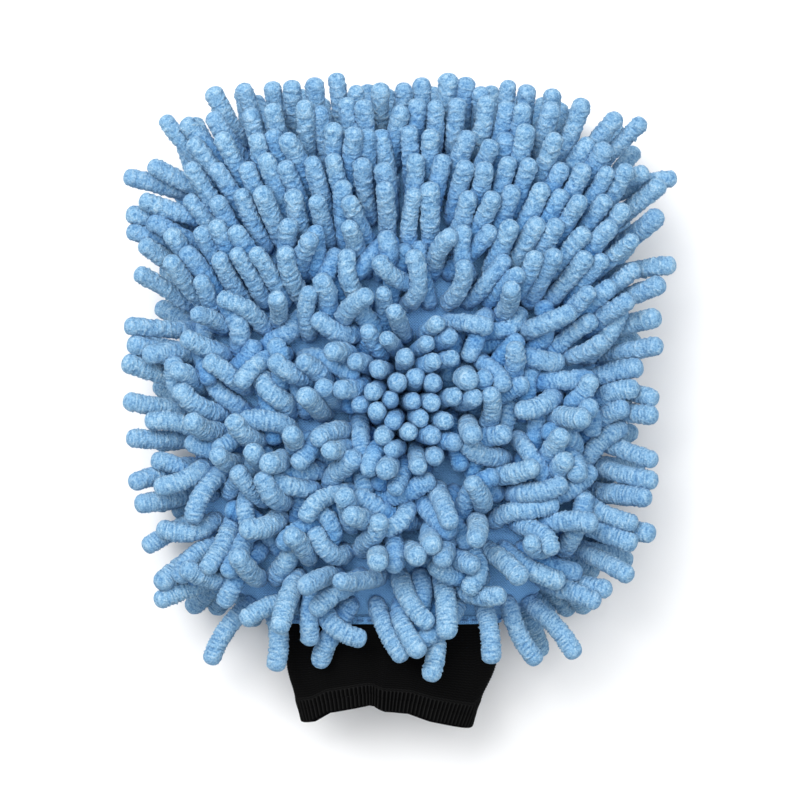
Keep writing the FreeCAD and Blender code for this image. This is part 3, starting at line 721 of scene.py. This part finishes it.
# ---- noodles: their surface ----
def smooth_line(lines, stops):
    """Catmull-Rom through each chain at shares 0..1 of its length."""
    links = lines.shape[1]
    padded = np.concatenate([
        2 * lines[:, :1] - lines[:, 1:2], lines, 2 * lines[:, -1:] - lines[:, -2:-1]
    ], axis=1)
    place = np.clip(stops, 0.0, 1.0) * (links - 1)
    span = np.minimum(place.astype(int), links - 2)
    t = (place - span)[None, :, None]
    p0, p1, p2, p3 = (padded[:, span + k] for k in range(4))
    bend = (2 * p0 - 5 * p1 + 4 * p2 - p3) * t ** 2 + (3 * p1 - p0 - 3 * p2 + p3) * t ** 3
    return 0.5 * (2 * p1 + (p2 - p0) * t + bend)


def noodle_surface(lines, radii, ruffled, deep, chance):
    """Ring points, and the ridge, along, shade and deep values of a set of noodles; the material paints
    light and shade from ridge, along and deep.
    """
    count = len(lines)
    body = RINGS - TIP_RINGS
    total = steps(lines, 1).sum(1)
    centres = np.zeros((count, RINGS, 3))
    centres[:, :body] = smooth_line(lines, np.linspace(0.0, 1.0, body))
    end = unit(centres[:, body - 1] - centres[:, body - 3])
    dome = np.sin(np.linspace(0.0, 1.0, TIP_RINGS + 1)[1:] * math.radians(TIP_ROUND))
    reach = dome[None, :, None] * radii[:, None, None]
    centres[:, body:] = centres[:, body - 1:body] + end[:, None] * reach
    tangents = unit(np.gradient(centres, axis=1))
    side = unit(np.cross(tangents[:, 0], chance.normal(size=(count, 3))))
    sides = np.zeros_like(centres)
    for ring in range(RINGS):
        side = unit(side - tangents[:, ring] * (side * tangents[:, ring]).sum(1, keepdims=True))
        sides[:, ring] = side
    others = np.cross(tangents, sides)
    angle = np.arange(AROUND) * 2 * math.pi / AROUND
    length = np.zeros((count, RINGS))
    length[:, :body] = np.linspace(0.0, 1.0, body)[None] * total[:, None]
    length[:, body:] = total[:, None] + dome[None] * radii[:, None]

    neck = NECK_SHARE + (1 - NECK_SHARE) * smoothstep(length / NECK_LENGTH)
    blunt = np.ones((count, RINGS))
    blunt[:, body:] = (1.0 - dome ** TIP_BLUNTNESS)[None] ** (1 / TIP_BLUNTNESS)
    swell = 1.0 + SWELL * np.sin(length / SWELL_LENGTH + chance.uniform(0, ANY_LAG, (count, 1)))
    radius = radii[:, None] * neck * blunt * swell

    pitch = RIB_PITCH * chance.uniform(*RIB_PITCH_SPREAD, (count, 1, 1))
    tilt = chance.uniform(-RIB_TILT, RIB_TILT, (count, 1, 1))
    lag = chance.uniform(0, ANY_LAG, (count, 1, 1))
    drift = np.cumsum(chance.normal(0, RIB_DRIFT, (count, RINGS)), axis=1)[:, :, None]
    # Ribs that run into each other: their count differs round the noodle.
    ring = np.arange(RINGS)[None, :, None]
    merge = 0.9 * np.sin(angle + 0.13 * ring + 2 * lag) + 0.7 * np.sin(2 * angle - 0.19 * ring + 3 * lag)
    phase = 2 * math.pi * length[:, :, None] / pitch + tilt * np.cos(angle + lag) + drift
    ripple = np.cos(phase + merge)
    rough = chance.normal(size=(count, RINGS, AROUND))
    rough = (rough + 0.7 * np.roll(rough, 1, axis=2) + 0.7 * np.roll(rough, 1, axis=1)) / 1.4
    strands = chance.normal(size=(count, RINGS, AROUND))
    strands = strands + np.roll(strands, 1, axis=2) + 0.6 * np.roll(strands, -1, axis=2)
    strands = (strands - np.roll(strands, 1, axis=1)).clip(-STRAND_LIMIT, STRAND_LIMIT) / STRAND_SCALE
    # Combed noodles are evenly woolly, ruffled ones show their ribs.
    worn = ruffled[:, None, None]
    ribbed = chance.uniform(0.1, 0.5, (count, 1, 1)) + 0.7 * worn
    strands *= 0.40 + 0.60 * worn
    rough *= 1.5 - 0.4 * worn
    tip = smoothstep((length - total[:, None]) / radii[:, None] + 0.3)[:, :, None]
    relief = (RIB_HEIGHT * ripple * ribbed + STRAND_HEIGHT * strands) * (1 - 0.75 * tip)
    relief += LOOP_HEIGHT * rough * (1 - 0.35 * tip)
    r = radius[:, :, None] + relief * np.minimum(radius[:, :, None] / radii[:, None, None], 1.0)
    across = sides[:, :, None] * (r * np.cos(angle))[..., None]
    points = centres[:, :, None] + across + others[:, :, None] * (r * np.sin(angle))[..., None]

    # Relief height, which the material turns into painted highlight on top and painted shade in the grooves.
    ridge = 0.5 + (0.16 * ripple * ribbed + 0.20 * strands) * (1 - 0.5 * tip) + 0.12 * rough
    along = (length / (total + radii)[:, None])[:, :, None]
    shade = chance.uniform(0, 1, (count, 1, 1))
    # Painted shade down in the pile, carried from the chain's points to the rings.
    stops, links = (np.linspace(0.0, 1.0, number) for number in (RINGS, CHAIN_LINKS))
    painted_shade_depth = np.array([np.interp(stops, links, line) for line in deep])[:, :, None]
    return points, [np.broadcast_to(value, ridge.shape) for value in (ridge, along, shade, painted_shade_depth)]


def noodle_faces(count):
    """Triangles of every noodle; its last two points close its root end and its tip."""
    each = RINGS * AROUND + 2
    quads = grid_faces(RINGS, AROUND, True)
    turn = np.arange(AROUND)
    following = np.roll(turn, -1)
    top = (RINGS - 1) * AROUND
    caps = np.concatenate([
        np.stack([following, turn, np.full(AROUND, each - 2)], axis=1),
        np.stack([top + turn, top + following, np.full(AROUND, each - 1)], axis=1),
    ])
    starts = each * np.arange(count)[:, None, None]
    parts = (quads[:, [0, 1, 2]], quads[:, [0, 2, 3]], caps)
    return np.concatenate([(part + starts).reshape(-1, 3) for part in parts])


def noodle_piece(name, points, values, material):
    count = len(points)
    rings = points.reshape(count, RINGS * AROUND, 3)
    root, neck, tip = (points[:, ring].mean(1) for ring in (0, -TIP_RINGS, -1))
    tip = tip + TIP_POINT * (tip - neck)
    everything = np.concatenate([rings, root[:, None], tip[:, None]], axis=1).reshape(-1, 3)
    piece = mesh_piece(name, everything, noodle_faces(count), material)
    for label, value in zip(("ridge", "along", "shade", "deep"), values):
        flat = value.reshape(count, RINGS * AROUND)
        paint(piece, label, np.concatenate([flat, flat[:, :1], flat[:, -1:]], axis=1))
    return piece


def standing_together(noodles, rows, hollow):
    """Which noodles stand upright, gathered in the hollow's middle."""
    found = np.zeros(len(noodles), dtype=bool)
    for k, (row, root, _, _, _) in enumerate(noodles):
        if rows[row].endswith("hollow"):
            across = (root[0] - hollow.x) / GATHERED_HALF_WIDTH
            along = (root[1] - hollow.y) / GATHERED_HALF_LENGTH
            found[k] = math.hypot(across, along) < 1.0
    return found


def make_pile(rows, cloth, hollow, seed):
    """Noodles of one side, their thickness, how ruffled they are, and their lines before they settle."""
    chance = np.random.default_rng(seed)
    noodles = read_noodles(rows, cloth)
    uneven = chance.normal(0, YARN_RADIUS_SPREAD, len(noodles))
    ruffled = smoothstep((RUFFLED_BELOW_Y - np.array([noodle[1][1] for noodle in noodles])) / RUFFLED_BLEND)
    gathered = standing_together(noodles, rows, hollow)
    radii = YARN_RADIUS + RUFFLED_SWELL * ruffled + uneven.clip(-YARN_RADIUS_LIMIT, YARN_RADIUS_LIMIT)
    radii -= GATHERED_THINNER * gathered
    return noodles, radii, ruffled, first_lines(noodles, chance, hollow, gathered)


def build_piles(material):
    """Settles both sides' noodles together; one piece for each CAD row. Returns the tufts' places."""
    cloth = surface_of("front_panel", "back_panel")
    hollow = sum(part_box("front_noodles_hollow"), Vector()) / 2
    front = make_pile(FRONT_ROWS, cloth, hollow, SEED)
    back = make_pile(BACK_ROWS, cloth, None, SEED + 1)
    radii, ruffled, lines = (np.concatenate(pair) for pair in zip(front[1:], back[1:]))
    obstacles = surface_of("front_panel", "back_panel", "mouth_hem", "cuff_knit", "cuff_welt")
    lines = settle(lines, radii, obstacles, SETTLE_ROUNDS)
    # Painted shade: how far down in the pile each chain point lies.
    deep = painted_pile_shade(lines, cloth)
    points, values = noodle_surface(lines, radii, ruffled, deep, np.random.default_rng(SEED + 2))
    points[..., 2] = np.maximum(points[..., 2], 0.0)
    owner = np.array([FRONT_ROWS[n[0]] for n in front[0]] + [BACK_ROWS[n[0]] for n in back[0]])
    for node in FRONT_ROWS + BACK_ROWS:
        mine = owner == node
        name = node.replace("noodles", "chenille")
        piece = noodle_piece(name, points[mine], [value[mine] for value in values], material)
        register(piece, node)
    return [np.array([noodle[4] for noodle in pile[0]]) for pile in (front, back)]


# ---- cloths ----
def outer_points(tree, centre, turns, reach):
    """A section's outside, along rays that run from outside to its centre."""
    found = []
    for turn in turns:
        out = Vector((math.cos(turn), 0.0, math.sin(turn)))
        hit = tree.ray_cast(centre + out * reach, -out, reach)[0]
        if hit is not None:
            found.append(np.array(hit))
    return np.array(found)


def sides_at(tree, low, high, y, z):
    """Where a level ray from each side meets a CAD piece, in x."""
    hits = [
        tree.ray_cast(Vector((x, y, z)), Vector((way, 0, 0)))[0]
        for x, way in ((low.x - RAY_START, 1), (high.x + RAY_START, -1))
    ]
    return None if None in hits else [hit.x for hit in hits]


def cloth_grid(name, sign):
    """The outer face of a CAD cloth as an even grid from mouth to top seam and from side to side."""
    tree = surface_of(name)
    low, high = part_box(name)
    seam_z = low.z if sign > 0 else high.z
    span = high.y - low.y - 2 * CLOTH_INSET
    turns = sign * np.linspace(0.0, math.pi, CLOTH_RAYS)
    rows = []
    for y in low.y + CLOTH_INSET + span * np.sin(np.linspace(0, math.pi / 2, CLOTH_ALONG)):
        sides = sides_at(tree, low, high, y, seam_z + sign * SEAM_LOOK)
        if sides is not None:
            line = outer_points(tree, Vector((sum(sides) / 2, y, seam_z)), turns, CLOTH_RAY_REACH)
            if len(line) >= FEWEST_HITS:
                rows.append(evenly(line, CLOTH_AROUND))
    return np.array(rows)


def grid_normals(grid):
    return unit(np.cross(np.gradient(grid, axis=1), np.gradient(grid, axis=0)))


def dimples(grid, roots):
    """How far the cloth is drawn in round each tuft's root."""
    tree = tree_of(roots)
    near = np.array([tree.find(point)[2] for point in grid.reshape(-1, 3)]).reshape(grid.shape[:2])
    return np.exp(-((near / DIMPLE_REACH) ** 2))


def skin(name, outer, inner, material, counts):
    """A closed thin sheet between two grids, with its four edges closed."""
    rows, columns, _ = outer.shape
    size = rows * columns
    top = grid_faces(rows, columns, False)
    index = np.arange(size).reshape(rows, columns)
    edge = np.concatenate([index[0], index[1:, -1], index[-1, -2::-1], index[-2:0:-1, 0]])
    after = np.roll(edge, -1)
    rim = np.stack([after, edge, edge + size, after + size], axis=1)
    points = np.concatenate([outer.reshape(-1, 3), inner.reshape(-1, 3)])
    piece = mesh_piece(name, points, np.concatenate([top, top[:, ::-1] + size, rim]), material)
    for label, value in counts.items():
        paint(piece, label, np.concatenate([value.ravel(), value.ravel()]))
    outward(piece)
    return piece


def outward(piece):
    """Makes the faces of a closed piece look outward."""
    work = bmesh.new()
    work.from_mesh(piece.data)
    bmesh.ops.recalc_face_normals(work, faces=work.faces)
    work.to_mesh(piece.data)
    work.free()


def knit_counts(grid):
    """How many wales and courses lie before each point of a grid."""
    rows, columns, _ = grid.shape
    middle = columns // 2
    wale = np.concatenate([np.zeros((rows, 1)), np.cumsum(steps(grid, 1), axis=1)], axis=1)
    wale -= wale[:, middle:middle + 1]
    course = np.concatenate([[0.0], np.cumsum(steps(grid[:, middle], 0))])
    course = np.broadcast_to(course[:, None], wale.shape)
    return {"wale": wale / CLOTH_LOOP, "course": course / CLOTH_LOOP}


def sheet_area(grid):
    a = grid[1:, 1:] - grid[:-1, :-1]
    b = grid[1:, :-1] - grid[:-1, 1:]
    return 0.5 * np.linalg.norm(np.cross(a, b), axis=2).sum()


def spread(lines, count):
    """Each line of numbers, read at so many even steps."""
    places = np.linspace(0, lines.shape[1] - 1, count)
    return np.array([np.interp(places, np.arange(lines.shape[1]), line) for line in lines])


def soft_ripples(shape, chance):
    """Slow unevenness of a cloth, in metres, fading out towards its edges."""
    rows, columns = shape
    coarse = chance.normal(size=(RIPPLES_ALONG, RIPPLES_AROUND))
    soft = spread(spread(coarse, columns).T, rows).T
    fade = np.outer(np.sin(np.linspace(0.2, math.pi, rows)), np.sin(np.linspace(0, math.pi, columns)))
    return RIPPLE_HEIGHT * soft * fade


def make_cloth(node, sign, thickness, material, roots=None, seed=SEED):
    """One cloth on its CAD node, drawn in at its tufts' roots; a lining has none. Its flat size and area."""
    grid = cloth_grid(node, sign)
    if roots is None:
        grid = grid[::2, ::2]
    normal = grid_normals(grid)
    up = np.array([0, 0, float(sign)])
    if (normal[:, grid.shape[1] // 2] @ up).mean() < 0:
        normal = -normal
    outer = grid.copy()
    if roots is not None:
        outer -= normal * (DIMPLE_DEPTH * dimples(grid, roots))[..., None]
        outer += normal * soft_ripples(grid.shape[:2], np.random.default_rng(seed))[..., None]
    inner = outer - normal * thickness * INNER_SHARE
    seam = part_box(node)[0].z if sign > 0 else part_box(node)[1].z
    for face in (outer, inner):
        face[..., 2] = seam + sign * np.maximum(sign * (face[..., 2] - seam), 0.0)
    counts = knit_counts(grid)
    name = node.replace("_panel", "_cloth") if node.endswith("_panel") else node + "_cloth"
    piece = skin(name, outer, inner, material, counts)
    register(piece, node)
    lines = (grid[grid.shape[0] // 3], grid[:, grid.shape[1] // 2])
    flat = tuple(round(float(steps(line, 0).sum()), 3) for line in lines)
    area = round(min(float(sheet_area(grid)), flat[0] * flat[1]), 5)
    return piece, flat, area


def build_cloths(front_roots, back_roots, base):
    lining = cloth_material("lining_cloth", (0.200, 0.290, 0.430), (0.330, 0.430, 0.560), 0.1)
    for side, sign, roots in (("front", 1, front_roots), ("back", -1, back_roots)):
        seed = SEED + 10 + sign
        piece, flat, area = make_cloth(side + "_panel", sign, CLOTH_SKIN, base, roots, seed)
        piece, flat, area = make_cloth(side + "_lining", sign, LINING_SKIN, lining)


# ---- cuff ----
def tube_outlines(node, ys):
    """A CAD tube's evenly spaced outer points at each y, from +X round over +Z, and the way out."""
    tree = surface_of(node)
    low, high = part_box(node)
    turns = np.linspace(0, 2 * math.pi, RAYS_ROUND, endpoint=False)
    outline = []
    for place in ys:
        y = min(max(float(place), low.y + EDGE_MISS), high.y - EDGE_MISS)
        x = sum(sides_at(tree, low, high, y, (low.z + high.z) / 2)) / 2
        above = tree.ray_cast(Vector((x, y, high.z + RAY_START)), Vector((0, 0, -1)))[0]
        below = tree.ray_cast(Vector((x, y, low.z - RAY_START)), Vector((0, 0, 1)))[0]
        line = outer_points(tree, Vector((x, y, (above.z + below.z) / 2)), turns, 2 * RAY_START)
        outline.append(evenly(np.concatenate([line, line[:1]]), CUFF_AROUND, closed=True))
    outline = np.array(outline)
    outline[..., 1] = ys[:, None]
    out = outline - outline.mean(1, keepdims=True)
    out[..., 1] = 0.0
    return outline, unit(out)


def fallen(outline, out):
    """An outline as the relaxed cuff lies: drawn up at its end and folded, less and less to the hem."""
    low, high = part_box("cuff_welt")
    share = np.clip((outline[..., 1] - low.y) / (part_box("cuff_knit")[1].y - low.y), 0.0, 1.0)
    away = outline - outline.mean(1, keepdims=True)
    turn = np.arctan2(away[..., 2], away[..., 0]) % (2 * math.pi)
    folds = sum(depth * np.exp(-((turn - place) / reach) ** 2) for place, reach, depth in CUFF_FOLDS)
    shape = outline + out * (folds * MM * (1.0 - share) ** FOLD_FADE)[..., None]
    across = (outline[..., 0] - low.x) / (high.x - low.x)
    drawn_up = np.interp(across, END_WAVE_PLACES, END_WAVE_RISES) * MM
    shape[..., 1] += drawn_up * (1.0 - smoothstep(share * WAVE_FADE))
    return shape


def knit_relief(distance, wales):
    """Courses of V-shaped loops: high on the yarns, low between the courses."""
    side = np.abs((COLUMN * wales) % 1.0 - 0.5)
    course = distance / COURSE_PITCH + side * 0.7
    return 0.7 * np.cos(2 * math.pi * course) + 0.3 * np.sin(2 * math.pi * side) - 0.1


def rib_relief(ribs, edge_distance):
    """Upright ribs that round off at the edges of their band."""
    rounding = np.sqrt(1.0 - (1.0 - np.minimum(edge_distance / WELT_EDGE, 1.0)) ** 2)
    return WELT_RIB_HEIGHT * np.cos(2 * math.pi * COLUMN * ribs) * rounding - WELT_EDGE * (1.0 - rounding)


def tube_piece(name, outline, out, relief, thickness, material):
    """A closed tube wall from an outer outline with relief and a plain inner face."""
    rows, columns, _ = outline.shape
    outer = outline + out * relief[..., None]
    kept = np.unique(np.linspace(0, rows - 1, min(rows, INNER_ROWS)).round().astype(int))
    inner = (outline - out * thickness)[kept]
    points = np.concatenate([outer.reshape(-1, 3), inner.reshape(-1, 3)])
    size = rows * columns
    turn = np.arange(columns)
    following = np.roll(turn, -1)
    first = np.stack([turn, following, following + size, turn + size], axis=1)
    outer_last, inner_last = (rows - 1) * columns, (len(kept) - 1) * columns
    last = first + np.array([outer_last, outer_last, inner_last, inner_last])
    inside = grid_faces(len(kept), columns, True)[:, ::-1] + size
    faces = np.concatenate([grid_faces(rows, columns, True), inside, first, last])
    piece = mesh_piece(name, points, faces, material)
    # Relief height, which the black knit turns into painted highlight on the ridges and painted shade in the
    # gaps.
    ridge = 0.5 + 0.5 * relief / RIDGE_FULL
    paint(piece, "ridge", np.concatenate([ridge.ravel(), np.full(len(kept) * columns, 0.5)]))
    outward(piece)
    return piece


def make_cuff(material):
    """The knitted tube and its ribbed end band, flush with each other."""
    welt_low, welt_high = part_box("cuff_welt")
    knit_low, knit_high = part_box("cuff_knit")
    ys = np.linspace(welt_low.y, welt_high.y, WELT_ROWS)
    outline, out = tube_outlines("cuff_welt", ys)
    shape = fallen(outline - out * WELT_LIP, out)
    girth = steps(shape, 1).sum(1).mean()
    ribs = round(girth / WELT_RIB_PITCH)
    relief = rib_relief(ribs, (ys - ys[0])[:, None])
    welt = tube_piece("cuff_welt_band", shape, out, relief, CUFF_SKIN, material)
    register(welt, "cuff_welt")
    ys = np.linspace(knit_low.y, knit_high.y, CUFF_ALONG)
    outline, out = tube_outlines("cuff_knit", ys)
    distance = (ys - welt_low.y)[:, None]
    ribbed = 1.0 - smoothstep((distance - RIBBED_BAND) / RIBBED_BLEND)
    cord = np.exp(-((distance - RIBBED_BAND - RIBBED_BLEND) / WELT_EDGE) ** 2)
    relief = (
        rib_relief(ribs, distance) * ribbed + WELT_CORD * cord
        + KNIT_RELIEF * knit_relief(distance, round(girth / WALE_PITCH)) * (1.0 - ribbed)
    )
    knit = tube_piece("cuff_knit_tube", fallen(outline, out), out, relief, CUFF_SKIN, material)
    register(knit, "cuff_knit")


def make_hem(material):
    """The base cloth's ribbed edge, lapped over the cuff."""
    low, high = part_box("mouth_hem")
    ys = np.linspace(low.y, high.y, HEM_ROWS)
    outline, out = tube_outlines("mouth_hem", ys)
    edge = np.minimum(ys - ys[0], ys[-1] - ys)[:, None]
    girth = steps(outline, 1).sum(1).mean()
    relief = HEM_SHARE * rib_relief(round(girth / WALE_PITCH), edge)
    piece = tube_piece("mouth_hem_rib", fallen(outline, out), out, relief, HEM_SKIN, material)
    for label, run in (("wale", COLUMN * girth), ("course", ys[:, None] - ys[0])):
        values = np.broadcast_to(run / CLOTH_LOOP, relief.shape).ravel()
        paint(piece, label, np.concatenate([values, values]))
    register(piece, "mouth_hem")


def make_elastic(material):
    """Elastic rings laid along the inside of the fallen cuff."""
    ys = np.array(sorted(float(points[:, 1].mean()) for points in solids_of("cuff_elastic_yarns")))
    outline, out = tube_outlines("cuff_knit", ys)
    centres = (fallen(outline, out) - out * (CUFF_SKIN + ELASTIC_RADIUS))[:, ::ELASTIC_STEP, None]
    turn = np.arange(ELASTIC_SIDES) * 2 * math.pi / ELASTIC_SIDES
    across = out[:, ::ELASTIC_STEP, None] * (ELASTIC_RADIUS * np.cos(turn))[:, None]
    along = np.array([0.0, 1.0, 0.0]) * (ELASTIC_RADIUS * np.sin(turn))[:, None]
    points = centres + across + along
    # Each point joins the next one round the yarn and the next one round the cuff.
    a = np.arange(len(ys) * centres.shape[1] * ELASTIC_SIDES).reshape(points.shape[:3])
    b = np.roll(a, -1, axis=1)
    faces = np.stack([a, np.roll(a, -1, axis=2), np.roll(b, -1, axis=2), b], axis=-1).reshape(-1, 4)
    piece = mesh_piece("cuff_elastic_rings", points.reshape(-1, 3), faces, material)
    outward(piece)
    register(piece, "cuff_elastic_yarns")


def finish_stitches():
    """Stitches keep their CAD shapes and get their real finish."""
    for node, name, dark, light in (
        ("side_seam_thread", "seam_thread", (0.080, 0.190, 0.380), (0.160, 0.320, 0.560)),
        ("cuff_seam_thread", "cuff_thread", (0.040, 0.120, 0.280), (0.110, 0.250, 0.480)),
    ):
        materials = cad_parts[node].data.materials
        materials.clear()
        materials.append(thread_material(name, dark, light))


# ---- studio ----
FLOOR_HALF = 3.0
FLOOR_DROP = 0.2 * MM
SKY_COLOUR = (0.93, 0.96, 1.0, 1.0)
SKY_STRENGTH = 0.36
# Soft square lamps that look at the origin: name, place, side, power in watts.
LAMPS = (
    ("key", (-0.46, 0.60, 1.15), 0.9, 18.5),
    ("fill", (0.75, 0.1, 0.9), 1.0, 4.0),
    ("top", (0.0, 0.0, 1.6), 1.2, 12.0),
)


def make_studio():
    corners = [(x * FLOOR_HALF, y * FLOOR_HALF, 0) for x, y in ((-1, -1), (1, -1), (1, 1), (-1, 1))]
    floor = mesh_piece("studio_floor", corners, [(0, 1, 2, 3)], floor_material())
    floor.location.z = -FLOOR_DROP
    world = bpy.data.worlds.new("studio")
    world.use_nodes = True
    set_sockets(world.node_tree.nodes["Background"], {"Color": SKY_COLOUR, "Strength": SKY_STRENGTH})
    bpy.context.scene.world = world
    for name, place, size, power in LAMPS:
        light = bpy.data.lights.new(name, "AREA")
        light.energy = power
        light.size = size
        lamp = placed(name, light)
        lamp.location = place
        lamp.rotation_euler = (-Vector(place)).to_track_quat("-Z", "Y").to_euler()
    bpy.context.scene.view_settings.view_transform = "Standard"


make_camera()
make_studio()
front_roots, back_roots = build_piles(chenille_material())
base_cloth = cloth_material("base_cloth", (0.040, 0.150, 0.365), (0.200, 0.460, 0.810), 0.08)
build_cloths(front_roots, back_roots, base_cloth)
make_cuff(black_knit_material())
make_hem(base_cloth)
make_elastic(thread_material("elastic_yarn", (0.003, 0.003, 0.003), (0.012, 0.012, 0.012)))
finish_stitches()
